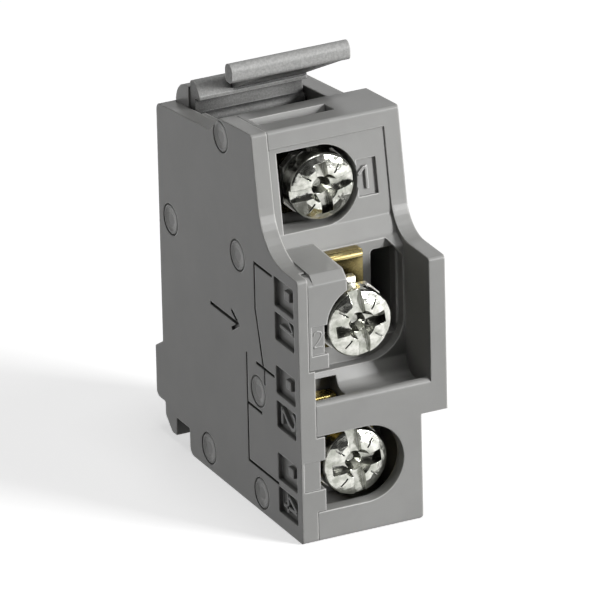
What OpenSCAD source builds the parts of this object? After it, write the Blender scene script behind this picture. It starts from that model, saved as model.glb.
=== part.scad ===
// Changeover auxiliary contact block with three screw terminals.
// Millimetres. X runs from the side cover to the right wall, Y from front to rear, Z up.
// The origin is the middle of the bottom of the block's bounding box.

/* [Housing] */
// Width of the upper body
full_w = 12.9; // [12.7:0.1:13.4]
// Width of the lower body
foot_w = 10.6; // [10.4:0.1:11]
// Height where the wider upper body starts
upper_z = 9; // [8.8:0.1:9.2]
// Depth of the block at the rear wall
body_d = 24.9; // [24.8:0.05:25.2]
// Distance that the rear step stands out of the rear wall
step_out = 1.4; // [1.1:0.05:1.6]
// Depth of the bottom face
base_d = 20.3; // [20.2:0.05:20.4]
// Height of the front block's top edge
body_h = 32.1; // [31.9:0.1:32.4]
// Height of the ledge above the middle terminal
ledge_h = 22.5; // [22.3:0.1:22.7]
// Height of the shelf bar above the bottom terminal
shelf_h = 11.8; // [11.7:0.1:12]
// Height of the trough behind the shelf bar
trough_z = 10.9; // [10.8:0.05:11]
// Lean of the upper front face from upright, in degrees
rake = 9.5; // [8.5:0.5:10.5]
// Radius of the hollow between the ledge and the upper front face
hollow_r = 4.4; // [3.4:0.2:4.6]
// Thickness of the side cover
cover_t = 1.4; // [1.2:0.1:1.5]
// Thickness of the outer walls
wall = 1; // [0.8:0.1:1.1]
// Thickness of the right wall beside the middle terminal
cheek_t = 1.4; // [1.2:0.1:1.5]
// Distance that the right wall's ledge lies below the cover's
ledge_drop = 0.4; // [0.2:0.1:0.5]
// Depth of the label panels in the cover
panel_deep = 0.4; // [0.2:0.1:0.45]
// Depth of the grooves in the cover
groove_deep = 0.25; // [0.15:0.05:0.3]
// Radius of the lower body's bottom corner on the right
foot_r = 0.4; // [0.2:0.1:0.5]

/* [Terminals] */
// Diameter of a terminal screw's head
head_dia = 5.6; // [5.4:0.1:5.7]
// Height of a screw head
head_h = 2.1; // [2.05:0.05:2.1]
// Width of a screw's slot
slot_w = 1; // [0.8:0.1:1.2]
// Diameter of a screw's shank
shank_dia = 3; // [2.6:0.1:3]
// Length of the shank under the head
shank_len = 4.4; // [4:0.1:4.5]
// Width of a clamp plate
plate_w = 5.2; // [4.8:0.1:5.3]
// Height of a clamp plate
plate_h = 4.8; // [4.4:0.1:5]
// Thickness of a clamp plate
plate_t = 0.7; // [0.6:0.05:0.75]
// Height of the lug on a clamp plate's top edge
lug_h = 0.9; // [0.6:0.1:0.9]
// Height of the bottom screw above the base
bottom_z = 5.7; // [5.65:0.05:5.8]
// Height of the middle screw above the base
middle_z = 17.6; // [17.55:0.05:17.7]
// Height of the top screw above the base
top_z = 26.9; // [26.85:0.05:27]
// Distance of the bottom screw from the cover's outer face
bottom_x = 5.2; // [5.1:0.05:5.3]
// Distance of the middle screw from the cover's outer face
middle_x = 5.65; // [5.55:0.05:5.75]
// Distance of the top screw from the cover's outer face
top_x = 5.7; // [5.6:0.05:5.8]
// Distance of the bottom screw's face behind the front
bottom_y = 0.5; // [0.45:0.05:0.5]
// Distance of the middle screw's face behind the front
middle_y = 0.15; // [0.1:0.05:0.3]
// Distance of the top screw's face behind the front
top_y = 6.35; // [6.3:0.05:6.5]

/* [Contacts] */
// Thickness of the brass strips
strip_t = 0.7; // [0.6:0.05:0.75]
// Distance of the lower two strips' faces behind the front
strip_y = 4.6; // [4.55:0.05:4.65]
// Distance of the common strip's face behind the front
top_strip_y = 11.2; // [11.15:0.05:11.3]
// Thickness of the contact arm
arm_t = 0.5; // [0.4:0.05:0.55]
// Width of the contact arm
arm_w = 2.6; // [2.2:0.1:2.8]
// Height of the arm's pivot
pivot_z = 13.15; // [13.1:0.05:13.2]
// Distance of the arm's pivot behind the front
pivot_y = 14.55; // [14.5:0.05:14.6]
// Diameter of the pivot pin
pivot_dia = 0.9; // [0.8:0.05:1]
// Distance of the contacts behind the front
contact_y = 9.8; // [9.75:0.05:9.85]
// Diameter of a contact button
button_dia = 1.3; // [1.1:0.1:1.4]
// Height of a contact button
button_h = 0.4; // [0.3:0.05:0.4]
// Opening between the make contacts at rest
contact_gap = 0.75; // [0.75:0.05:0.85]

/* [Plunger] */
// Diameter of the plunger's lower end
plunger_dia = 2; // [1.8:0.1:2.1]
// Diameter of the plunger's stem
stem_dia = 1.6; // [1.4:0.1:1.6]
// Diameter of the plunger's collar
collar_dia = 3.6; // [3.4:0.1:3.7]
// Width of the notch in front of the foot hook, with the plunger in its middle
notch_w = 2.4; // [2.35:0.05:2.6]
// Height of the plunger's lower end above the base
plunger_z = 1.5; // [1.4:0.1:1.6]
// Wire diameter of the plunger spring
wire_dia = 0.28; // [0.2:0.02:0.3]
// Wire diameter of the contact spring
fine_wire = 0.2; // [0.16:0.02:0.22]

/* [Latch] */
// Diameter of the latch's root barrel
barrel_dia = 1.8; // [1.6:0.1:1.8]
// Thickness of the latch's web
web_t = 0.9; // [0.7:0.1:1]
// Height of the thumb bar's top above the block's top edge
thumb_rise = 4.1; // [3.9:0.1:4.3]
// Height of the thumb bar's face
thumb_face = 1.55; // [1.4:0.05:1.7]
// Distance of the thumb bar behind the front
thumb_y = 12.1; // [11.9:0.1:12.3]

/* [Hidden] */
// Clearance round a sliding or turning piece
fit = 0.05;
// Clearance between fixed pieces
seam = 0.03;
total_d = body_d + step_out;
cheek_x = full_w - cheek_t;
upper_room_x = full_w - wall - 0.6;
lower_room_x = foot_w - wall;
divider_y = strip_y + strip_t;
room_y = divider_y + wall;
mid_x = 6.6;
shank_r = shank_dia / 2;
head_r = head_dia / 2;
window_r = head_r + 0.45;
// Middle of the round cut in the left block, and its radius
block_cut = [5.6, 18.1];
block_cut_r = head_r + 0.3;
narrow_x = 2.6;
// Front wall round the lower terminal's window
front_wall = 1.2;
// Place behind the front of the set-back wall round the middle terminal
set_back = 4.4;
chin_z = ledge_h + 1.2;
band_z = body_h - 1.5;
band_proud = 0.12;
floor_z = wall;
notch_z = 2.2;
notch_floor = notch_z + wall + 0.2;
hook_y = base_d + notch_w;
hook_z = 0.62;
step_z = [2.85, 7.2];
plunger_y = base_d + notch_w / 2;
// Places of the joining pins, behind the front and above the base
PINS = [[13.2, body_h - 2.1], [22.8, 19.4], [10.7, 20.8], [7.5, 10.35], [16.8, 1.8], [7.3, 1.6]];
pin_r = 0.7;
boss_r = 1.05;
stake_r = 1.3;
stake_t = 0.5;
arm_z = pivot_z - arm_t / 2;
make_top = arm_z - button_h - contact_gap;
break_low = arm_z + arm_t + button_h + seam;
ear_w = 0.6;
ear_gap = 0.05;
leg_y = pivot_y - strip_t / 2;
leg_foot = pivot_z + 1.1;
guide_z = 9.5;
guide_t = 0.9;
collar_z = notch_floor + seam;
collar_t = 1;
stem_top = arm_z - 0.08;
spring_foot = 10.4;
spring_y = 12.2;
thumb_h = body_h + thumb_rise;
barrel_y = body_d - 3.5;
barrel_z = body_h - 4;
trunnion_r = 0.5;
// Front face and top of the latch's catch edge
catch_y = barrel_y - 1.3;
catch_z = body_h - 1.55;
// Top of the rolled wall between the barrel and the catch edge
roll_z = body_h - 0.55;
latch_x = [cover_t + 0.15, cheek_x - 0.45];
thumb_x = [0.6, cheek_x - 0.5];
web_x = 4.5;
pocket_x = [cover_t + 0.35, cheek_x - 0.15];
rear_top = body_h - 3.35;
// Lower end of the block left of the middle screw
block_low = 14.65;
// Left end of the shell's nose in the cover's rebate
nose_x = 0.87;
break_strip_z = break_low + button_h;
make_strip_z = 8.3;

$fn = 48;

// Distance behind the front of the raked upper face at a height z
function rake_y(z) = 6.56 + (z - 25.26) * tan(rake);

// Moves a piece from the front left bottom corner to the part's origin
module in_frame() {
    translate([-full_w / 2, -total_d / 2, 0])
        children();
}

// Draws a side view, depth by height, as a solid from x0 to x1
module across(x0, x1) {
    translate([x0, 0, 0])
        rotate([90, 0, 90])
            linear_extrude(x1 - x0)
                children();
}

// Draws a front view, width by height, as a solid from y0 back to y1
module behind(y0, y1) {
    translate([0, y1, 0])
        rotate([90, 0, 0])
            linear_extrude(y1 - y0)
                children();
}

// Cylinder along the depth
module bore_back(x, z, r, y0, y1) {
    behind(y0, y1)
        translate([x, z])
            circle(r);
}

// Cylinder along the width
module bore_across(y, z, r, x0, x1) {
    across(x0, x1)
        translate([y, z])
            circle(r);
}

// Rectangle between two corners
module rect(u0, v0, u1, v1) {
    translate([u0, v0])
        square([u1 - u0, v1 - v0]);
}

// First two numbers of a corner
function flat(p) = [p[0], p[1]];

// Arc points that round one corner of an outline to its own radius
function corner(a, p, b, steps) =
    let (
        u = (flat(a) - flat(p)) / norm(flat(a) - flat(p)),
        w = (flat(b) - flat(p)) / norm(flat(b) - flat(p)),
        half = acos(u * w) / 2,
        centre = flat(p) + (u + w) / norm(u + w) * p[2] / sin(half),
        from = flat(p) + u * p[2] / tan(half) - centre,
        to = flat(p) + w * p[2] / tan(half) - centre,
        a0 = atan2(from[1], from[0]),
        turn = atan2(to[1], to[0]) - a0,
        sweep = turn > 180 ? turn - 360 : turn < -180 ? turn + 360 : turn
    )
    [
        for (i = [0:steps])
            let (t = a0 + sweep * i / steps)
                centre + p[2] * [cos(t), sin(t)]
    ];

// Outline through corners given as [across, up, radius]
module rounded(pts, steps = 6) {
    n = len(pts);
    polygon([
        for (i = [0:n - 1])
            let (p = pts[i])
                each p[2] > 0 ? corner(pts[(i + n - 1) % n], p, pts[(i + 1) % n], steps) : [flat(p)]
    ]);
}

// Bottom, foot, rear step and top of the side view, from the front bottom corner round
function back_corners() = [
    [0, 0, 0.25],
    [base_d, 0, 0.7],
    [base_d, notch_z, 0.12],
    [hook_y, notch_z, 0.12],
    [hook_y, hook_z, 0.12],
    [hook_y + 0.85, hook_z, 0.3],
    [body_d - 0.18, hook_z + 1.1, 0.5],
    [body_d - 0.18, step_z[0], 0.15],
    [total_d, step_z[0], 0.55],
    [total_d, step_z[1], 0.15],
    [body_d, step_z[1] + 0.85, 0.2],
    [body_d, rear_top, 0.65],
    [15.1, body_h - 2.15, 0.3],
    [13.4, body_h - 0.6, 0.5],
    [rake_y(body_h), body_h, 0.3]
];

// Side view of the cover and of the right cheek, each with its own ledge
module side_outline(ledge, hollow) {
    rounded(concat(back_corners(), [
        [rake_y(ledge), ledge, hollow],
        [0, ledge, 0.3]
    ]), 10);
}

// Side view of the block between the cover and the cheek
module core_outline() {
    rounded(concat(back_corners(), [
        [rake_y(band_z), band_z, 0.06],
        [rake_y(band_z) + band_proud, band_z, 0],
        [rake_y(chin_z) + band_proud, chin_z, 0.3],
        [5.5, ledge_h - 0.2, 0.3],
        [set_back, ledge_h - 0.9, 0.3],
        [set_back, trough_z + 1.4, 0.4],
        [set_back - 0.7, trough_z, 1],
        [1.5, trough_z, 1],
        [0.7, shelf_h, 0.3],
        [0, shelf_h, 0.35]
    ]), 8);
}

// Front view of a terminal window: a half round end with a straight left side
module window_face(left, x, z) {
    translate([x, z])
        circle(window_r);
    rect(left, z - window_r, x, z + window_r);
}

// Solid block of the shell, before it is hollowed
module shell_block() {
    intersection() {
        across(cover_t, foot_w)
            intersection() {
                core_outline();
                rect(-1, -1, total_d + 1, upper_z);
            }
        behind(-1, total_d + 1)
            rounded([[0, 0, 0], [foot_w, 0, foot_r], [foot_w, upper_z, 0], [0, upper_z, 0]]);
    }
    across(cover_t, cheek_x)
        intersection() {
            core_outline();
            rect(-1, upper_z, total_d + 1, body_h + 1);
        }
    across(cheek_x, full_w)
        intersection() {
            side_outline(ledge_h - ledge_drop, hollow_r * 0.7);
            rect(-1, upper_z, total_d + 1, body_h + 1);
        }
    left_block();
    latch_shoulder();
}

// Block left of the middle screw, with a nose in the cover's rebate
module left_block() {
    across(cover_t, 4.3)
        rounded([
            [0, block_low, 0.1],
            [5.7, block_low, 0],
            [5.7, ledge_h + 0.25, 0],
            [0.75, ledge_h + 0.05, 0.25],
            [0, ledge_h - 0.6, 0.2]
        ]);
    across(nose_x + seam, cover_t)
        rounded([
            [0, block_low, 0.1],
            [1.4, block_low, 0],
            [1.4, ledge_h - 0.15, 0],
            [0.75, ledge_h - 0.15, 0.1],
            [0, ledge_h - 0.6, 0.2]
        ]);
}

// Rounded shoulder at the rear top, which carries the latch's barrel
module latch_shoulder() {
    across(cover_t + seam, cheek_x)
        difference() {
            union() {
                translate([barrel_y + 0.8, barrel_z + 0.7])
                    circle(2.05);
                rect(catch_y + 0.25, barrel_z - 2.1, barrel_y + 2.85, barrel_z + 0.7);
            }
            rect(catch_y - 1.1, barrel_z - 0.5, barrel_y + 0.5, body_h);
        }
}

// Rooms of the top terminal
module top_rooms() {
    behind(5, 8.45)
        window_face(2.05, top_x, top_z + 0.05);
    across(0, top_x + window_r + 0.2)
        rect(8.4, 23.25, top_strip_y + strip_t, top_z + window_r + 0.25);
    across(1.75, 8.35)
        rounded([
            [9.75, top_z + 2.05, 0],
            [top_strip_y - fit, top_z + 2.05, 0],
            [top_strip_y - fit, body_h - 1.1, 0.2],
            [12.2, body_h + 0.6, 0],
            [9.75, body_h + 0.6, 0]
        ]);
    bore_back(top_x, top_z, shank_r + 0.2, top_strip_y, 14.9);
    across(0, mid_x + arm_w / 2 + ear_w + 2 * ear_gap)
        rect(top_strip_y - seam, 23.25, leg_y + strip_t + seam, 24.05);
}

// Rooms of the middle terminal, open to the front
module middle_rooms() {
    bore_back(block_cut[0], block_cut[1], block_cut_r, -1, divider_y);
    bore_back(middle_x, middle_z, head_r + 0.15, -1, divider_y);
    behind(-1, divider_y)
        rect(narrow_x, block_low - 0.1, middle_x, block_cut[1]);
    behind(-1, 2.15)
        rect(nose_x + 1.46, block_low + 1.25, narrow_x + 0.1, block_low + 3.73);
    behind(2.1, divider_y)
        rounded([
            [1.95, 13.2, 0.3],
            [1.95, 22.2, 0.3],
            [cheek_x - 1.2, 22.2, 0.3],
            [cheek_x - 0.1, 20.8, 0.5],
            [cheek_x - 0.1, trough_z + 1.45, 3.2],
            [2.6, trough_z + 1.45, 0.3]
        ]);
    behind(divider_y - 0.1, room_y + 0.2)
        rounded([
            [9, 14, 0.3],
            [9, 21.4, 0.3],
            [upper_room_x - 0.1, 21.4, 0.3],
            [upper_room_x - 0.1, 14, 0.3]
        ]);
    bore_back(middle_x, middle_z, shank_r + 0.2, strip_y, room_y + 0.2);
}

// Rooms of the bottom terminal
module bottom_rooms() {
    behind(-1, front_wall + 0.05)
        window_face(1, bottom_x + 0.55, bottom_z + 0.05);
    across(0, lower_room_x)
        rect(front_wall, bottom_z - window_r - 1, divider_y, bottom_z + window_r + 0.5);
    across(2.1, 5.2)
        rect(2.4, 8, strip_y + strip_t, trough_z + 1);
    bore_back(bottom_x, bottom_z, shank_r + 0.2, strip_y, room_y + 0.2);
}

// Room of the contacts behind the terminals, with slots for the strips' tails
module contact_room() {
    across(0, lower_room_x)
        rounded([
            [room_y, floor_z, 0.5],
            [base_d - wall, floor_z, 0.5],
            [base_d - wall, notch_floor, 0.3],
            [body_d - wall, notch_floor, 0.5],
            [body_d - wall, 24.1, 0.5],
            [leg_y - seam, 24.1, 0],
            [leg_y - seam, 22.2, 0.3],
            [room_y, 22.2, 0.3]
        ]);
    across(0, upper_room_x)
        rounded([
            [room_y, upper_z + wall, 0.3],
            [body_d - wall, upper_z + wall, 0.3],
            [body_d - wall, 24.1, 0.5],
            [leg_y - seam, 24.1, 0],
            [leg_y - seam, 22.2, 0.3],
            [room_y, 22.2, 0.3]
        ]);
    across(0, mid_x + arm_w / 2 + 0.1)
        rect(strip_y, break_strip_z - seam, room_y + 0.1, break_strip_z + strip_t + seam);
    across(0, mid_x + arm_w / 2 + 0.1)
        rect(strip_y, make_strip_z - seam, room_y + 0.1, make_strip_z + strip_t + seam);
}

// Open pocket between the front block and the latch's root
module latch_pocket() {
    across(pocket_x[0], pocket_x[1])
        rounded([
            [15.6, barrel_z - 2.7, 0.3],
            [catch_y - 0.2, barrel_z - 2.7, 0.3],
            [catch_y - 0.2, body_h + 0.9, 0],
            [14.7, body_h + 0.9, 0],
            [15.2, body_h - 2.6, 0.2]
        ]);
    across(0, pocket_x[1])
        rect(catch_y - 0.6, barrel_z - 0.5, barrel_y + 0.5, body_h + 0.9);
    bore_across(barrel_y, barrel_z, barrel_dia / 2 + fit, cover_t - 1, pocket_x[1]);
    bore_across(barrel_y, barrel_z, trunnion_r + fit, 0, cheek_x + 0.5);
}

// Shallow panel for the top terminal's number, on the raked face
module number_panel() {
    translate([0, rake_y(top_z) + band_proud, top_z])
        rotate([-rake, 0, 0])
            translate([8.85, -1, -1.5])
                cube([1.7, 1.25, 3]);
}

// Shallow panels for numbers on the lower front faces
module front_panels() {
    translate([nose_x + 0.3, -1, block_low + 1.25])
        cube([1.16, 1.15, 2.48]);
}

// Pillars of the joining pins, with their formed heads, and the rib of the rear pillar
module joining_pins() {
    for (p = PINS) {
        bore_across(p[0], p[1], boss_r, cover_t, p[1] > 12 ? upper_room_x + 0.1 : lower_room_x + 0.1);
        bore_across(p[0], p[1], pin_r, 0.3, cover_t + 0.1);
        bore_across(p[0], p[1], stake_r, 0.08, stake_t - seam);
    }
    across(cover_t, upper_room_x + 0.1)
        rect(PINS[1][0], PINS[1][1] - 0.4, body_d - wall + 0.1, PINS[1][1] + 0.4);
}

// Ribs that carry the contact spring and guide the plunger
module inner_ribs() {
    across(4.9, lower_room_x + 0.1)
        rect(spring_y - 0.8, floor_z - 0.1, spring_y + 0.8, spring_foot);
    difference() {
        across(4.4, upper_room_x)
            rect(18.6, guide_z, body_d - wall + 0.1, guide_z + guide_t);
        translate([mid_x, plunger_y, guide_z - 1])
            cylinder(h = guide_t + 2, r = stem_dia / 2 + fit);
        translate([4, plunger_y - stem_dia / 2 - fit, guide_z - 1])
            cube([mid_x - 4, stem_dia + 2 * fit, guide_t + 2]);
    }
}

// Main moulding: lower and upper body, rooms, pillars and ribs
module base_shell() {
    color("dimgray")
        in_frame()
            difference() {
                union() {
                    difference() {
                        shell_block();
                        top_rooms();
                        middle_rooms();
                        bottom_rooms();
                        contact_room();
                        latch_pocket();
                        number_panel();
                        front_panels();
                    }
                    joining_pins();
                    inner_ribs();
                }
                translate([mid_x, plunger_y, 0])
                    cylinder(h = notch_floor + 1, r = plunger_dia / 2 + fit);
                behind(-1, front_wall)
                    rect(0, 2.5, 2.16, 8.93);
                across(-1, cover_t)
                    rect(4, -1, 9, 1);
            }
}

// Groove of the circuit diagram between two points of the cover's outer face
module groove(p, q, w = 0.24) {
    d = q - p;
    across(-1, groove_deep)
        translate(p)
            rotate(atan2(d[1], d[0]))
                translate([-w / 2, -w / 2])
                    square([norm(d) + w, w]);
}

// Circuit diagram of the changeover contact, and the arrow
module diagram() {
    groove([4.65, 21.3], [7.7, 21.3]);
    groove([7.7, 21.3], [7.7, 17.4]);
    groove([7.7, 17.4], [6.5, 13]);
    groove([4.6, 12.75], [7.65, 12.75]);
    groove([6.25, 12.5], [6.25, 11.45]);
    groove([4.2, 3.7], [9.45, 3.7]);
    groove([9.45, 3.7], [9.45, 12.9]);
    groove([6.95, 8.7], [9.45, 8.7]);
    groove([10.75, 14.85], [15.7, 14.85], 0.3);
    groove([10.75, 14.85], [11.9, 15.6], 0.3);
    groove([10.75, 14.85], [11.9, 14.1], 0.3);
}

// Label panels beside the front edge
module cover_panels() {
    for (z = [[19, 21.5], [16.1, 18.5], [11.5, 13.9], [8.6, 10.9], [4.1, 6.4], [1.3, 3.5]])
        across(-1, panel_deep)
            rounded([[0.8, z[0], 0.15], [4.2, z[0], 0.15], [4.2, z[1], 0.15], [0.8, z[1], 0.15]], 3);
}

// Lip on the cover's front, with the steps beside the bottom window
module front_lip() {
    behind(0, front_wall - fit)
        polygon([
            [cover_t - 0.1, 2.56],
            [2.1, 2.56],
            [2.1, 4.4],
            [1.7, 4.4],
            [1.7, 6.9],
            [2.1, 6.9],
            [2.1, 8.87],
            [cover_t - 0.1, 8.87]
        ]);
}

// Side cover, held by the formed heads of the joining pins
module side_cover() {
    color("gray")
        in_frame()
            difference() {
                union() {
                    across(0, cover_t - seam)
                        side_outline(ledge_h, hollow_r);
                    front_lip();
                }
                for (p = PINS) {
                    bore_across(p[0], p[1], pin_r + seam, -1, cover_t + 1);
                    bore_across(p[0], p[1], stake_r + seam, -1, stake_t);
                }
                across(nose_x, cover_t + 1)
                    rect(-1, block_low - 0.05, 1.45, ledge_h + 1);
                bore_across(barrel_y, barrel_z, trunnion_r + fit, 0.8, cover_t + 1);
                behind(-1, 0.12)
                    rect(0.25, 4.4, 3, 6.9);
                diagram();
                cover_panels();
            }
}

// Release latch: root barrel, rolled wall with the catch edge, web and thumb bar
module release_latch() {
    color("silver")
        in_frame() {
            across(latch_x[0], latch_x[1])
                root_outline();
            across(web_x, latch_x[1])
                web_outline();
            across(thumb_x[0], thumb_x[1])
                thumb_outline();
            bore_across(barrel_y, barrel_z, trunnion_r, 0.9, cheek_x + 0.4);
        }
}

module root_outline() {
    translate([barrel_y, barrel_z])
        circle(barrel_dia / 2);
    rounded([
        [barrel_y - 0.45, barrel_z, 0],
        [barrel_y + 0.4, barrel_z, 0],
        [barrel_y + 0.4, roll_z, 0.4],
        [catch_y + 0.75, roll_z, 0.35],
        [catch_y, catch_z, 0.06],
        [catch_y, catch_z - 0.3, 0.05],
        [barrel_y - 0.45, catch_z - 0.4, 0.15]
    ]);
}

module web_outline() {
    under = [catch_y + 0.2, catch_z + 0.15];
    tip = [thumb_y + 0.5, thumb_h - thumb_face + 0.02];
    lift = web_t / cos(atan2(tip[1] - under[1], under[0] - tip[0]));
    rounded([
        [barrel_y + 0.1, roll_z - 0.25, 0],
        [tip[0] + 0.5, tip[1] + lift, 0.2],
        [tip[0], tip[1], 0.1],
        [under[0], under[1], 0],
        [catch_y + 0.9, catch_z, 0]
    ]);
}

module thumb_outline() {
    rounded([
        [thumb_y, thumb_h - thumb_face, 0.45],
        [thumb_y + 1.15, thumb_h - thumb_face, 0.3],
        [thumb_y + 1.3, thumb_h, 0.6],
        [thumb_y, thumb_h, 0.6]
    ], 8);
}

// Terminal screw with its face at y, looking to the front, and its slot turned
module terminal_screw(x, y, z, turn) {
    color("gainsboro")
        in_frame()
            translate([x, y, z])
                rotate([-90, 0, 0])
                    rotate(turn)
                        screw_solid();
}

module screw_solid() {
    difference() {
        rotate_extrude()
            rounded([
                [0, 0.02, 0],
                [head_r * 0.62, 0.08, 0.6],
                [head_r, 0.45, 0.25],
                [head_r, head_h, 0.08],
                [shank_r - 0.05, head_h, 0],
                [shank_r - 0.05, head_h + shank_len - 0.4, 0],
                [shank_r - 0.45, head_h + shank_len, 0],
                [0, head_h + shank_len, 0]
            ]);
        translate([-slot_w / 2, -2.15, -1])
            cube([slot_w, 4.3, 1.95]);
        translate([-head_r - 1, -slot_w / 2, -1])
            cube([head_dia + 2, slot_w, 1.75]);
        translate([0, 0, -0.3])
            cylinder(h = 1.9, r1 = 1.4, r2 = 0.35);
        for (a = [45:90:315])
            rotate(a)
                translate([1.45, -0.06, -1])
                    cube([0.85, 0.12, 1.34]);
    }
}

// Clamp plate with a guide lug, its front face at y
module clamp_plate(x, y, z) {
    cut = 0.9;
    hw = plate_w / 2;
    hh = plate_h / 2;
    color("whitesmoke")
        in_frame()
            behind(y, y + plate_t)
                translate([x, z])
                    difference() {
                        union() {
                            polygon([
                                [-hw, -hh + cut],
                                [-hw + cut, -hh],
                                [hw - cut, -hh],
                                [hw, -hh + cut],
                                [hw, hh - cut],
                                [hw - cut, hh],
                                [-hw + cut, hh],
                                [-hw, hh - cut]
                            ]);
                            rect(-0.55, hh - 0.1, 0.55, hh + lug_h);
                        }
                        circle(shank_r + 0.1);
                    }
}

// Brass plate of a terminal, threaded for the screw
module strip_plate(y, x, z, x0, x1, z0, z1) {
    difference() {
        behind(y, y + strip_t)
            rounded([[x0, z0, 0.3], [x1, z0, 0.3], [x1, z1, 0.3], [x0, z1, 0.3]], 4);
        bore_back(x, z, shank_r, y - 1, y + strip_t + 1);
    }
}

// Common strip: plate of the top terminal, leg and ears for the pivot pin
module common_strip() {
    half = arm_w / 2 + ear_gap + ear_w;
    color("gold")
        in_frame() {
            strip_plate(top_strip_y, top_x, top_z, 2.3, 8.7, 23.3, 29.4);
            across(mid_x - half, mid_x + half)
                rounded([
                    [top_strip_y, 23.3, 0],
                    [leg_y + 0.01, 23.3, 0.1],
                    [leg_y, leg_foot, 0],
                    [leg_y + strip_t, leg_foot, 0],
                    [leg_y + strip_t, 24, 0.6],
                    [top_strip_y, 24, 0]
                ]);
            for (x = [mid_x - half, mid_x + half - ear_w])
                across(x, x + ear_w)
                    difference() {
                        union() {
                            translate([pivot_y, pivot_z])
                                circle(0.95);
                            rect(pivot_y - 0.95, pivot_z, pivot_y + 0.95, leg_foot + 0.3);
                        }
                        translate([pivot_y, pivot_z])
                            circle(pivot_dia / 2);
                    }
        }
}

// Break strip: plate of the middle terminal, front lip and tail to the upper contact
module break_strip() {
    color("gold")
        in_frame() {
            strip_plate(strip_y, middle_x, middle_z, 2.3, 8, break_strip_z, 22.1);
            across(4.5, 7.65)
                rounded([
                    [strip_y - 0.7, 21.55, 0.2],
                    [strip_y + 0.1, 21.55, 0],
                    [strip_y + strip_t, 22.1, 0.3],
                    [strip_y - 0.7, 22.05, 0.2]
                ]);
            across(mid_x - arm_w / 2, mid_x + arm_w / 2)
                rect(strip_y + 0.1, break_strip_z, contact_y + 0.8, break_strip_z + strip_t);
        }
}

// Make strip: plate of the bottom terminal, upper lug and tail to the lower contact
module make_strip() {
    pad = make_top - button_h - strip_t;
    color("gold")
        in_frame() {
            strip_plate(strip_y, bottom_x, bottom_z, 2.2, 8.6, 2.7, make_strip_z + strip_t);
            across(2.2, 5.05)
                rounded([
                    [strip_y, make_strip_z, 0],
                    [strip_y + strip_t - seam, make_strip_z, 0],
                    [strip_y + strip_t - seam, 10.5, 0.3],
                    [strip_y - 0.8, 10.5, 0.2],
                    [strip_y - 0.8, 10, 0.1],
                    [strip_y, 9.9, 0.1]
                ]);
            across(mid_x - arm_w / 2, mid_x + arm_w / 2)
                rounded([
                    [strip_y + 0.1, make_strip_z, 0],
                    [contact_y - 0.2, make_strip_z, 0.4],
                    [contact_y - 0.2, pad, 0.1],
                    [contact_y + 0.8, pad, 0],
                    [contact_y + 0.8, pad + strip_t, 0],
                    [contact_y - 0.9, pad + strip_t, 0.4],
                    [contact_y - 0.9, make_strip_z + strip_t, 0.1],
                    [strip_y + 0.1, make_strip_z + strip_t, 0]
                ]);
        }
}

// Contact button standing on its strip, its lower face at z
module button(z) {
    color("silver")
        in_frame()
            translate([mid_x, contact_y, z])
                cylinder(h = button_h, d = button_dia);
}

// Rocking contact arm with a rolled eye round the pivot pin
module contact_arm() {
    color("darkgoldenrod")
        in_frame()
            difference() {
                union() {
                    across(mid_x - arm_w / 2, mid_x + arm_w / 2)
                        rect(contact_y - 0.75, arm_z, plunger_y + 0.8, arm_z + arm_t);
                    bore_across(pivot_y, pivot_z, 0.9, mid_x - arm_w / 2, mid_x + arm_w / 2);
                }
                bore_across(pivot_y, pivot_z, pivot_dia / 2 + 0.03, 0, full_w);
            }
}

// Steel pin through the common strip's ears
module pivot_pin() {
    half = arm_w / 2 + ear_gap + ear_w + 0.35;
    color("lightgray")
        in_frame()
            bore_across(pivot_y, pivot_z, pivot_dia / 2, mid_x - half, mid_x + half);
}

// Wire coil standing on z = 0
module coil(r, wire, height, turns) {
    sides = 8;
    n = turns * 14;
    pts = [
        for (i = [0:n], k = [0:sides - 1])
            let (
                a = 360 * turns * i / n,
                b = 360 * k / sides,
                out = r + wire / 2 * cos(b),
                z = wire / 2 + (height - wire) * i / n + wire / 2 * sin(b)
            )
                [out * cos(a), out * sin(a), z]
    ];
    skin = [
        for (i = [0:n - 1], k = [0:sides - 1])
            let (
                a = i * sides + k,
                b = i * sides + (k + 1) % sides
            )
                each [[a, b, b + sides], [a, b + sides, a + sides]]
    ];
    first = [for (k = [sides - 1:-1:0]) k];
    last = [for (k = [0:sides - 1]) n * sides + k];
    polyhedron(pts, concat(skin, [first, last]));
}

// Spring that presses the arm's front end up against the break contact
module contact_spring() {
    color("silver")
        in_frame()
            translate([mid_x, spring_y, spring_foot + 0.01])
                coil(0.6, fine_wire, arm_z - spring_foot - 0.02, 4);
}

// Spring that presses the plunger down, between its collar and the guide rib
module plunger_spring() {
    foot = collar_z + collar_t;
    color("silver")
        in_frame()
            translate([mid_x, plunger_y, foot + 0.01])
                coil((stem_dia + wire_dia) / 2 + 0.12, wire_dia, guide_z - foot - 0.02, 6);
}

// Plunger that lifts the rear end of the contact arm
module plunger() {
    color("white")
        in_frame()
            translate([mid_x, plunger_y, 0])
                rotate_extrude()
                    rounded([
                        [0, plunger_z, 0],
                        [plunger_dia / 2, plunger_z, 0.35],
                        [plunger_dia / 2, collar_z, 0],
                        [collar_dia / 2, collar_z, 0.1],
                        [collar_dia / 2, collar_z + collar_t, 0.1],
                        [stem_dia / 2, collar_z + collar_t, 0],
                        [stem_dia / 2, stem_top, 0.5],
                        [0, stem_top, 0]
                    ]);
}

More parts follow.
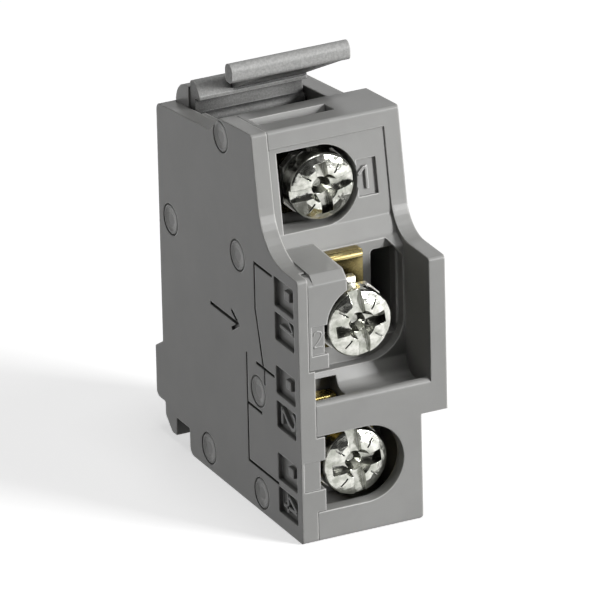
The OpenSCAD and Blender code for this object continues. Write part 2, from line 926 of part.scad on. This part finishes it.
base_shell();
side_cover();
release_latch();
terminal_screw(top_x, top_y, top_z, -8);  // top_screw
terminal_screw(middle_x, middle_y, middle_z, 82);  // middle_screw
terminal_screw(bottom_x, bottom_y, bottom_z, 83);  // bottom_screw
clamp_plate(top_x, top_y + head_h + seam, top_z);  // top_clamp_plate
clamp_plate(middle_x, middle_y + head_h + seam, middle_z);  // middle_clamp_plate
clamp_plate(bottom_x, bottom_y + head_h + seam, bottom_z);  // bottom_clamp_plate
common_strip();
break_strip();
make_strip();
button(break_low);  // break_contact
button(make_top - button_h);  // make_contact
contact_arm();
button(arm_z + arm_t);  // arm_break_contact
button(arm_z - button_h);  // arm_make_contact
pivot_pin();
contact_spring();
plunger();
plunger_spring();
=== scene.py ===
# %% [markdown]
# # Dressing an auxiliary contact block
# The CAD model already holds every moulded and pressed piece of the block at its real size.
# This lesson loads it as a fixed frame and gives it what the CAD leaves out: softened edges,
# the finish of each plastic and metal, the raised terminal numbers, the light and the camera.

# %% Load the frame
import math

import bmesh
import bpy
from mathutils import Matrix, Vector


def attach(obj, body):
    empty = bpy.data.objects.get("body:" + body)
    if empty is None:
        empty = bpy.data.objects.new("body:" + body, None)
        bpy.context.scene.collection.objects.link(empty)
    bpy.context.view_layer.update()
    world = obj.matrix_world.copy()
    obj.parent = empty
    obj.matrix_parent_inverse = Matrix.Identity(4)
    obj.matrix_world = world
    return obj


MM = 0.001

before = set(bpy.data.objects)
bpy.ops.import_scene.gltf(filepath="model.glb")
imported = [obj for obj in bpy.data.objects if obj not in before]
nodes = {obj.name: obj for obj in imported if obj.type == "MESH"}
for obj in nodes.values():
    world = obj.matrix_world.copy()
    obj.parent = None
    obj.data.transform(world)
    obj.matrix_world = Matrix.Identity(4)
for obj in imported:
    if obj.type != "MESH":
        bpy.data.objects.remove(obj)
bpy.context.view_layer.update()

# %% [markdown]
# All sizes below are millimetres measured from the block's front left bottom corner, the way
# a drawing would give them. One small function turns such a point into the frame's metres.
# X runs from the side cover to the right wall, Y from the terminals to the rear, Z up.

# %% Points on the drawing
HALF_WIDTH = 6.45
HALF_DEPTH = 13.15


def at(x, y, z):
    """A point of the drawing, in metres in the frame."""
    return Vector((x - HALF_WIDTH, y - HALF_DEPTH, z)) * MM


print("front left bottom corner:", tuple(round(v, 5) for v in at(0, 0, 0)))

# %% [markdown]
# ## Materials
# Every finish is one Principled shader with noise on its colour, roughness and height.
# Three things make a small moulding look real at this distance, and each is a few nodes: edges
# that catch the light through a rounded normal and a painted highlight in their colour, because
# no moulded edge is truly sharp; corners and rooms with painted shade in their colour where
# little light gets in; and a fine grain that breaks up the reflections.
# The edges could be cut round with a modifier too. A Bevel node was chosen because it leaves
# the CAD mesh as it is and still bends the light at the edge.

# %% Noise and ramps
NOISE_ROUGH = 0.55


def noise_node(tree, scale, detail=4.0):
    """Noise over the object's own coordinates, so it stays on the piece when it moves."""
    coords = tree.nodes.new("ShaderNodeTexCoord")
    noise = tree.nodes.new("ShaderNodeTexNoise")
    noise.inputs["Scale"].default_value = scale
    noise.inputs["Detail"].default_value = detail
    noise.inputs["Roughness"].default_value = NOISE_ROUGH
    tree.links.new(coords.outputs["Object"], noise.inputs["Vector"])
    return noise


def ramp_node(tree, source, low, high, start=0.35, end=0.65):
    """Turns a value into a colour between low and high."""
    ramp = tree.nodes.new("ShaderNodeValToRGB")
    ramp.color_ramp.elements[0].position = start
    ramp.color_ramp.elements[1].position = end
    ramp.color_ramp.elements[0].color = (*low, 1)
    ramp.color_ramp.elements[1].color = (*high, 1)
    tree.links.new(source, ramp.inputs["Fac"])
    return ramp


# %% Mixing colours
MIX_FACTOR, MIX_FIRST, MIX_SECOND, MIX_RESULT = 0, 6, 7, 2


def mix_node(tree, kind, factor, first, second):
    """Mixes two colours; factor is a number or a socket, and second may be a plain colour."""
    mix = tree.nodes.new("ShaderNodeMix")
    mix.data_type = "RGBA"
    mix.blend_type = kind
    if isinstance(factor, float):
        mix.inputs[MIX_FACTOR].default_value = factor
    else:
        tree.links.new(factor, mix.inputs[MIX_FACTOR])
    tree.links.new(first, mix.inputs[MIX_FIRST])
    if isinstance(second, tuple):
        mix.inputs[MIX_SECOND].default_value = (*second, 1)
    else:
        tree.links.new(second, mix.inputs[MIX_SECOND])
    return mix.outputs[MIX_RESULT]


# %% [markdown]
# Outer edges of a moulding get a painted highlight: their colour is made lighter than the faces,
# standing in for the light a rounded edge catches. The shader finds them where two things are
# true: the rounded normal leaves the flat one, and nothing stands close by, which tells an outer
# edge from an inner corner.

# %% Painted highlights on outer edges
EDGE_ROUND = 0.18 * MM
BEND_START = 0.995
BEND_FULL = 0.95
EDGE_REACH = 0.5 * MM
EDGE_SHUT = 0.7
EDGE_OPEN = 0.95
EDGE_LIGHTER = 2.0


def paint_edge_highlights(tree, colour, rounded, light, amount):
    """Paints a highlight into the colour of outer edges: there the rounded normal leaves the
    flat one, in the open.
    """
    flat = tree.nodes.new("ShaderNodeNewGeometry")
    dot = tree.nodes.new("ShaderNodeVectorMath")
    dot.operation = "DOT_PRODUCT"
    tree.links.new(flat.outputs["True Normal"], dot.inputs[0])
    tree.links.new(rounded, dot.inputs[1])
    bend = tree.nodes.new("ShaderNodeMapRange")
    bend.inputs["From Min"].default_value = BEND_START
    bend.inputs["From Max"].default_value = BEND_FULL
    bend.inputs["To Max"].default_value = amount
    tree.links.new(dot.outputs["Value"], bend.inputs["Value"])
    outer = tree.nodes.new("ShaderNodeAmbientOcclusion")
    outer.samples = 6
    outer.inputs["Distance"].default_value = EDGE_REACH
    outer_only = tree.nodes.new("ShaderNodeMapRange")
    outer_only.inputs["From Min"].default_value = EDGE_SHUT
    outer_only.inputs["From Max"].default_value = EDGE_OPEN
    tree.links.new(outer.outputs["AO"], outer_only.inputs["Value"])
    both = tree.nodes.new("ShaderNodeMath")
    both.operation = "MULTIPLY"
    tree.links.new(bend.outputs["Result"], both.inputs[0])
    tree.links.new(outer_only.outputs["Result"], both.inputs[1])
    return mix_node(tree, "MIX", both.outputs["Value"], colour, light)


# %% Darker corners and rooms
def shade_corners(tree, colour, reach, dark, span, alone):
    """Darkens the colour where the walls round it leave little open sky.

    With alone, only the piece's own walls count, and not the floor it stands on."""
    open_sky = tree.nodes.new("ShaderNodeAmbientOcclusion")
    open_sky.only_local = alone
    open_sky.samples = 8
    open_sky.inputs["Distance"].default_value = reach
    ramp = ramp_node(tree, open_sky.outputs["AO"], (dark, dark, dark), (1, 1, 1), *span)
    return mix_node(tree, "MULTIPLY", 1.0, colour, ramp.outputs["Color"])


# %% Uneven hollows of a cold-formed head
HOLLOW_SCALE = 1100.0


def crumple(tree, normal, height):
    """Broad uneven hollows, as the punch leaves them in a cold-formed head before plating."""
    coords = tree.nodes.new("ShaderNodeTexCoord")
    cells = tree.nodes.new("ShaderNodeTexVoronoi")
    cells.inputs["Scale"].default_value = HOLLOW_SCALE
    cells.inputs["Randomness"].default_value = 1.0
    tree.links.new(coords.outputs["Object"], cells.inputs["Vector"])
    bump = tree.nodes.new("ShaderNodeBump")
    bump.inputs["Strength"].default_value = 1.0
    bump.inputs["Distance"].default_value = height * MM
    tree.links.new(cells.outputs["Distance"], bump.inputs["Height"])
    tree.links.new(normal, bump.inputs["Normal"])
    return bump.outputs["Normal"]


# %% One finish
def finish_of(name, dark, light, patch, rough, metal=0.0, grain=9000.0, height=0.008,
              edge=EDGE_ROUND, edge_highlight=0.0, deep=1.0, reach=2.5 * MM, span=(0.15, 0.8),
              alone=False, facets=0.0):
    """A finish whose colour drifts from dark to light over patches, with fine grain on it."""
    mat = bpy.data.materials.new(name)
    mat.use_nodes = True
    tree = mat.node_tree
    shader = tree.nodes["Principled BSDF"]
    shader.inputs["Metallic"].default_value = metal
    bevel = tree.nodes.new("ShaderNodeBevel")
    bevel.samples = 8
    bevel.inputs["Radius"].default_value = edge
    drift = noise_node(tree, patch)
    colour = ramp_node(tree, drift.outputs["Fac"], dark, light).outputs["Color"]
    # painted highlight: outer edges get a lighter colour that stands in for the light they catch
    if edge_highlight:
        bright = tuple(min(1.0, v * EDGE_LIGHTER) for v in light)
        colour = paint_edge_highlights(tree, colour, bevel.outputs["Normal"], bright, edge_highlight)
    if deep < 1:
        colour = shade_corners(tree, colour, reach, deep, span, alone)
    tree.links.new(colour, shader.inputs["Base Color"])
    fine = noise_node(tree, grain, detail=2.0)
    spread = tree.nodes.new("ShaderNodeMapRange")
    spread.inputs["To Min"].default_value = rough[0]
    spread.inputs["To Max"].default_value = rough[1]
    tree.links.new(fine.outputs["Fac"], spread.inputs["Value"])
    tree.links.new(spread.outputs["Result"], shader.inputs["Roughness"])
    normal = bevel.outputs["Normal"]
    if facets:
        normal = crumple(tree, normal, facets)
    bump = tree.nodes.new("ShaderNodeBump")
    bump.inputs["Strength"].default_value = 0.5
    bump.inputs["Distance"].default_value = height * MM
    tree.links.new(fine.outputs["Fac"], bump.inputs["Height"])
    tree.links.new(normal, bump.inputs["Normal"])
    tree.links.new(bump.outputs["Normal"], shader.inputs["Normal"])
    print("finish", name)
    return mat


# %% [markdown]
# ### Plastics
# The shell, the cover and the latch are moulded in the same grey thermoplastic. Its skin is
# satin: it mirrors a lamp only as a soft sheen. The latch has a slightly coarser, lighter skin,
# and the plunger is a smooth off-white plastic that slides well. One colour for each would do
# from afar. Here the grey drifts a little over each face, as it does where the melt cooled at
# different speeds, because a perfectly even grey looks painted.

# %% Moulded plastics
shell_grey = finish_of("shell_plastic", (0.318, 0.317, 0.309), (0.344, 0.343, 0.334), 260.0,
                       (0.28, 0.38), edge_highlight=0.85, deep=0.16, reach=4.5 * MM, span=(0.15, 0.62),
                       alone=True)
cover_grey = finish_of("cover_plastic", (0.310, 0.309, 0.300), (0.336, 0.335, 0.325), 260.0,
                       (0.28, 0.38), edge_highlight=0.7, deep=0.16, reach=0.8 * MM, alone=True)
latch_grey = finish_of("latch_plastic", (0.34, 0.34, 0.333), (0.46, 0.46, 0.45), 5000.0,
                       (0.36, 0.55), height=0.05, edge_highlight=0.6, deep=0.06, reach=3.5 * MM,
                       span=(0.5, 0.95))
plunger_white = finish_of("plunger_plastic", (0.62, 0.61, 0.58), (0.70, 0.69, 0.66), 300.0,
                          (0.35, 0.5), edge_highlight=0.2, deep=0.4)

# %% [markdown]
# ### Metals
# The screws and clamp plates are steel with a bright zinc plate that is dull and slightly
# warm in places. The strips are rolled brass, the arm is a springy bronze, and the contact
# buttons are silver. Metal shows only what it mirrors, so the dark parts of the room matter
# as much as the lamps. The uneven hollows on the screw heads could be real mesh, but they are
# too shallow to change the outline, so a bump of the shader gives them.

# %% Metals
screw_metal = finish_of("screw_zinc", (0.40, 0.41, 0.36), (0.74, 0.74, 0.69), 1500.0,
                        (0.10, 0.24), metal=1.0, grain=2600.0, height=0.03, edge=0.06 * MM,
                        deep=0.2, reach=1.2 * MM, facets=0.06)
plate_metal = finish_of("plate_zinc", (0.72, 0.71, 0.66), (0.90, 0.89, 0.85), 700.0,
                        (0.22, 0.38), metal=1.0, grain=4000.0, height=0.01, edge=0.05 * MM,
                        deep=0.1, reach=2.0 * MM)
brass = finish_of("strip_brass", (0.72, 0.56, 0.20), (0.90, 0.74, 0.34), 500.0,
                  (0.22, 0.36), metal=1.0, grain=5000.0, edge=0.04 * MM,
                  deep=0.03, reach=6.0 * MM, span=(0.45, 0.97))
bright_brass = finish_of("bar_brass", (0.80, 0.62, 0.20), (0.95, 0.78, 0.34), 500.0,
                         (0.2, 0.34), metal=1.0, grain=5000.0, edge=0.04 * MM,
                         deep=0.3, reach=1.0 * MM)
bronze = finish_of("arm_bronze", (0.62, 0.36, 0.16), (0.74, 0.46, 0.23), 500.0,
                   (0.24, 0.38), metal=1.0, grain=5000.0, edge=0.04 * MM)
silver = finish_of("contact_silver", (0.86, 0.86, 0.84), (0.96, 0.96, 0.95), 900.0,
                   (0.20, 0.34), metal=1.0, grain=6000.0, height=0.006, edge=0.03 * MM)
steel = finish_of("spring_steel", (0.55, 0.55, 0.56), (0.70, 0.70, 0.71), 1200.0,
                  (0.22, 0.36), metal=1.0, grain=8000.0, height=0.004, edge=0.02 * MM)

# %% Every CAD node gets its own finish
FINISHES = {
    shell_grey: ["base_shell"],
    cover_grey: ["side_cover"],
    latch_grey: ["release_latch"],
    plunger_white: ["plunger"],
    screw_metal: ["top_screw", "middle_screw", "bottom_screw"],
    plate_metal: ["top_clamp_plate", "middle_clamp_plate", "bottom_clamp_plate"],
    brass: ["common_strip", "break_strip"],
    bright_brass: ["make_strip"],
    bronze: ["contact_arm"],
    silver: ["break_contact", "make_contact", "arm_break_contact", "arm_make_contact"],
    steel: ["pivot_pin", "contact_spring", "plunger_spring"],
}


def dress(node, mat):
    """Gives a CAD node its finish through its object's material slots."""
    obj = nodes[node]
    obj.data.materials.clear()
    obj.data.materials.append(mat)


for mat, names in FINISHES.items():
    for name in names:
        dress(name, mat)
print("dressed", sum(len(v) for v in FINISHES.values()), "nodes")

# %% [markdown]
# ## Raised terminal numbers
# The mould has each number cut into it, so on the part the number stands up from the bottom
# of a shallow panel. It can't rub off there, because the panel's rim stands higher than the
# number. A text object could give it, but its font wouldn't be the mould's. Each number is
# drawn as a few strokes instead, like a stencil, and each stroke becomes a narrow ridge with
# sloped flanks, because a mould needs that slope to let the part go.

# %% A ridge along a line of points
STROKE = 0.36
FLANK = 0.05
MITRE_LIMIT = 0.5


def offset_sides(points, half):
    """Points left and right of a line, half a stroke away, with mitred corners."""
    left, right = [], []
    for i, p in enumerate(points):
        before = points[max(i - 1, 0)]
        after = points[min(i + 1, len(points) - 1)]
        a = (p - before).normalized() if i else (after - p).normalized()
        b = (after - p).normalized() if i < len(points) - 1 else a
        mid = (a + b).normalized()
        normal = Vector((-mid.y, mid.x))
        reach = half / max(MITRE_LIMIT, mid.dot(a))
        left.append(p + normal * reach)
        right.append(p - normal * reach)
    return left, right


def ridge(bm, points, place, foot, top, width=STROKE):
    """Adds one raised stroke from the depth foot to the depth top.

    place(u, v, depth) turns a point of the panel into a place in the frame."""
    points = [Vector(p) for p in points]
    rings = []
    for half, depth in ((width / 2, foot), (width / 2 - FLANK, top)):
        sides = offset_sides(points, half)
        rings.append([[bm.verts.new(place(p.x, p.y, depth)) for p in side] for side in sides])
    (foot_l, foot_r), (top_l, top_r) = rings
    for i in range(len(points) - 1):
        bm.faces.new((top_l[i], top_r[i], top_r[i + 1], top_l[i + 1]))
        bm.faces.new((foot_l[i], foot_l[i + 1], foot_r[i + 1], foot_r[i]))
        bm.faces.new((foot_l[i], top_l[i], top_l[i + 1], foot_l[i + 1]))
        bm.faces.new((foot_r[i], foot_r[i + 1], top_r[i + 1], top_r[i]))
    for i in (0, -1):
        bm.faces.new((foot_l[i], foot_r[i], top_r[i], top_l[i]))


# %% A mesh becomes a piece of the block
def piece_of(name, bm, mat, body="housing"):
    """Turns the mesh into a piece that rides on a CAD body."""
    bmesh.ops.recalc_face_normals(bm, faces=bm.faces)
    mesh = bpy.data.meshes.new(name)
    bm.to_mesh(mesh)
    bm.free()
    obj = bpy.data.objects.new(name, mesh)
    bpy.context.scene.collection.objects.link(obj)
    mesh.materials.append(mat)
    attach(obj, body)
    print("piece", name, "with", len(mesh.polygons), "faces")
    return obj


# %% [markdown]
# On the cover the numbers are turned a quarter, so they read from the top down beside the
# front edge. A small square before each stands for the first digit, which the installer gives
# by the place of the block. The strokes are drawn upright on a small grid and then turned.

# %% Strokes of the numbers, upright, one unit high
DIGITS = {
    "1": [[(0.02, 0.66), (0.34, 1.0)], [(0.38, 1.0), (0.38, 0.0)]],
    "2": [[(0.0, 0.74), (0.06, 0.92), (0.26, 1.0), (0.48, 0.93), (0.56, 0.74), (0.44, 0.5),
           (0.02, 0.02)], [(0.0, 0.0), (0.6, 0.0)]],
    "4": [[(0.42, 0.98), (0.0, 0.3)], [(-0.02, 0.3), (0.64, 0.3)], [(0.46, 1.0), (0.46, 0.0)]],
}
print("strokes for the digits", *DIGITS)

# %% Numbers on the cover
PANEL_DEEP = 0.4
SUNK = 0.02
MARK_TOP = 0.1
DIGIT_TALL = 2.35
DIGIT_FOOT_Y = 3.5
DIGIT_LEFT_Z = {"1": 18.35, "2": 10.5, "4": 3.2}


def on_cover(y, z, depth):
    """A place on the cover, from the panel's own y and z and the depth under its face."""
    return at(depth, y, z)


for digit, left_z in DIGIT_LEFT_Z.items():
    bm = bmesh.new()
    for line in DIGITS[digit]:
        turned = [(DIGIT_FOOT_Y - v * DIGIT_TALL, left_z - u * DIGIT_TALL) for u, v in line]
        ridge(bm, turned, on_cover, PANEL_DEEP + SUNK, MARK_TOP)
    piece_of("cover_digit_" + digit, bm, cover_grey)
print("numbers stand", round(PANEL_DEEP - MARK_TOP, 2), "mm above the panels")

# %% Squares before the numbers
SQUARE = 0.85
SQUARE_MIDDLES = ((2.15, 20.45), (2.2, 12.85), (2.1, 5.4))
for i, (y, z) in enumerate(SQUARE_MIDDLES):
    bm = bmesh.new()
    line = [(y + SQUARE / 2, z), (y - SQUARE / 2, z)]
    ridge(bm, line, on_cover, PANEL_DEEP + SUNK, MARK_TOP, width=SQUARE)
    piece_of(f"cover_square_{i + 1}", bm, cover_grey)

# %% [markdown]
# The top terminal has its number on the sloped face right of the screw, so it is drawn in the
# plane of that face. The block left of the middle screw has its number too, much shallower.

# %% Number beside the top screw
RAKE = math.radians(9.5)
SCREW_Z = 26.9
SLOPE_Y, SLOPE_Z = 6.56, 25.26
SET_BACK = 0.12
FACE_Y = SLOPE_Y + (SCREW_Z - SLOPE_Z) * math.tan(RAKE) + SET_BACK
SLOPE_STROKE = 0.32
SLOPE_FOOT, SLOPE_TOP = 0.27, 0.03
SLOPE_LINES = ([(8.95, 0.28), (9.55, 0.85)], [(9.68, 0.95), (9.68, -0.95)])


def on_slope(x, up, depth):
    """A place on the sloped face: across, up the slope, and under the face."""
    return at(x, FACE_Y + depth * math.cos(RAKE) + up * math.sin(RAKE),
              SCREW_Z - depth * math.sin(RAKE) + up * math.cos(RAKE))


bm = bmesh.new()
for line in SLOPE_LINES:
    ridge(bm, line, on_slope, SLOPE_FOOT, SLOPE_TOP, width=SLOPE_STROKE)
piece_of("front_digit_1", bm, shell_grey)

# %% Number left of the middle screw
BLOCK_X, BLOCK_Z = 1.36, 16.55
BLOCK_WIDE, BLOCK_TALL = 1.3, 1.35
BLOCK_STROKE = 0.2
BLOCK_FOOT, BLOCK_TOP = 0.17, 0.125


def on_block(x, z, depth):
    """A place on the block's front panel."""
    return at(x, depth, z)


bm = bmesh.new()
for line in DIGITS["2"]:
    drawn = [(BLOCK_X + u * BLOCK_WIDE, BLOCK_Z + v * BLOCK_TALL) for u, v in line]
    ridge(bm, drawn, on_block, BLOCK_FOOT, BLOCK_TOP, width=BLOCK_STROKE)
piece_of("front_digit_2", bm, shell_grey)

# %% [markdown]
# ## Formed pin heads
# The shell's pins go through the cover and a hot punch forms their ends into flat heads. The
# punch leaves a shallow dish with a thin rim of squeezed-out plastic round it. A few rings of
# points, turned round the pin, give that profile exactly where a flat disc would look cut.

# %% Dish with a rim, turned round the pin
PIN_MIDDLES = [(13.2, 30.0), (22.8, 19.4), (10.7, 20.8), (7.5, 10.35), (16.8, 1.8), (7.3, 1.6)]
# radius from the pin's axis, and depth under the cover's face
DISH = [(0.55, 0.07), (0.85, 0.055), (1.0, 0.025), (1.1, 0.01), (1.2, 0.03), (1.3, 0.085)]
AROUND = 40
for i, (y, z) in enumerate(PIN_MIDDLES):
    bm = bmesh.new()
    rings = []
    for radius, depth in DISH:
        ring = []
        for k in range(AROUND):
            turn = math.tau * k / AROUND
            place = at(depth, y + radius * math.cos(turn), z + radius * math.sin(turn))
            ring.append(bm.verts.new(place))
        rings.append(ring)
    bm.faces.new(rings[0])
    bm.faces.new(rings[-1])
    for inner, outer in zip(rings, rings[1:]):
        for k in range(AROUND):
            n = (k + 1) % AROUND
            bm.faces.new((inner[k], inner[n], outer[n], outer[k]))
    piece_of(f"pin_head_{i + 1}", bm, shell_grey)

# %% [markdown]
# ## Floor, light and camera
# The floor is a white table lit from below, as used for catalogue pictures, so it stays white
# to the edge of the picture. It is hidden from diffuse rays: its glow would light the block's
# side from below and make it paler than it looks in such a picture.

# %% Floor
FLOOR_SIZE = 3
FLOOR_GAP = 0.02 * MM
FLOOR_GLOW = 0.58
bpy.ops.mesh.primitive_plane_add(size=FLOOR_SIZE, location=(0, 0, -FLOOR_GAP))
floor = bpy.context.object
floor.name = "floor"
floor_mat = bpy.data.materials.new("pale_floor")
floor_mat.use_nodes = True
floor_shader = floor_mat.node_tree.nodes["Principled BSDF"]
floor_shader.inputs["Base Color"].default_value = (0.8, 0.8, 0.8, 1)
floor_shader.inputs["Roughness"].default_value = 0.8
floor_shader.inputs["Emission Color"].default_value = (1, 1, 1, 1)
floor_shader.inputs["Emission Strength"].default_value = FLOOR_GLOW
floor.data.materials.append(floor_mat)
floor.visible_diffuse = False
print("floor", FLOOR_SIZE, "m wide")

# %% [markdown]
# The camera stands far away with a long lens, which is how small parts are usually shown: their
# upright edges stay nearly parallel. Its place follows from the angle it looks at, the scale of
# the picture, and one point of the block with the pixel on which that point falls.

# %% Camera
AZIMUTH = math.radians(25.88)
ELEVATION = math.radians(23.31)
ROLL = math.radians(-1.34)
FOCAL_PX = 11962.0
DISTANCE = 0.9466
FRAME_PX = 600.0
AIM = at(6.45, 12.7, 18.0)
AIM_PX = (300.1, 263.6)
SENSOR = 36

right = Vector((math.cos(AZIMUTH), -math.sin(AZIMUTH), 0))
ahead = Vector((math.sin(AZIMUTH) * math.cos(ELEVATION), math.cos(AZIMUTH) * math.cos(ELEVATION),
                -math.sin(ELEVATION)))
above = right.cross(ahead)
rolled_right = right * math.cos(ROLL) + above * math.sin(ROLL)
rolled_above = above * math.cos(ROLL) - right * math.sin(ROLL)
per_px = DISTANCE / FOCAL_PX
place = AIM - ahead * DISTANCE
place -= rolled_right * (AIM_PX[0] - FRAME_PX / 2) * per_px
place += rolled_above * (AIM_PX[1] - FRAME_PX / 2) * per_px

cam_data = bpy.data.cameras.new("camera")
camera = bpy.data.objects.new("camera", cam_data)
bpy.context.scene.collection.objects.link(camera)
cam_data.sensor_width = SENSOR
cam_data.lens = FOCAL_PX / FRAME_PX * SENSOR
cam_data.clip_start = 0.05
cam_data.clip_end = 20
basis = Matrix((rolled_right, rolled_above, -ahead)).transposed().to_4x4()
basis.translation = place
camera.matrix_world = basis
bpy.context.scene.camera = camera
print("camera lens", round(cam_data.lens, 1), "mm at", [round(v, 3) for v in place])

# %% [markdown]
# A large soft lamp far to the front right lights the terminals and leaves the cover darker, so
# that the two sides read apart. Small lamps do one job each: one shines on the edges between
# top and front, one fills from above, one gives the flat tops their sheen, and one lifts the
# cover from the left rear. The surroundings stay almost black, which keeps the rooms deep.

# %% Light
TARGET = Vector((0, 0, 0.018))
# name, place in metres, width of the lamp in metres, power in watts
LAMPS = [
    ("key_light", (0.40, -0.47, 0.22), 0.18, 4.4),
    ("edge_light", (0.2, -0.2, 0.43), 0.08, 0.13),
    ("top_light", (0.02, -0.06, 0.6), 0.2, 0.8),
    ("sheen_light", (0.2, 0.42, 0.2), 0.16, 0.1),
    ("side_light", (-0.45, 0.22, 0.12), 0.3, 0.38),
]


def soft_box(name, place, size, power):
    """A square lamp at a place round the block, turned to it."""
    data = bpy.data.lights.new(name, "AREA")
    data.shape = "SQUARE"
    data.size = size
    data.energy = power
    lamp = bpy.data.objects.new(name, data)
    bpy.context.scene.collection.objects.link(lamp)
    lamp.location = place
    lamp.rotation_euler = (TARGET - Vector(place)).to_track_quat("-Z", "Y").to_euler()


for lamp_values in LAMPS:
    soft_box(*lamp_values)
print(len(LAMPS), "lamps")

# %% Surroundings
SURROUND = 0.03
world = bpy.data.worlds.new("studio")
world.use_nodes = True
bpy.context.scene.world = world
back = world.node_tree.nodes["Background"]
back.inputs["Color"].default_value = (1, 1, 1, 1)
back.inputs["Strength"].default_value = SURROUND
bpy.context.scene.view_settings.view_transform = "Standard"
print("surroundings at", SURROUND)

# %% Update the scene
bpy.context.view_layer.update()
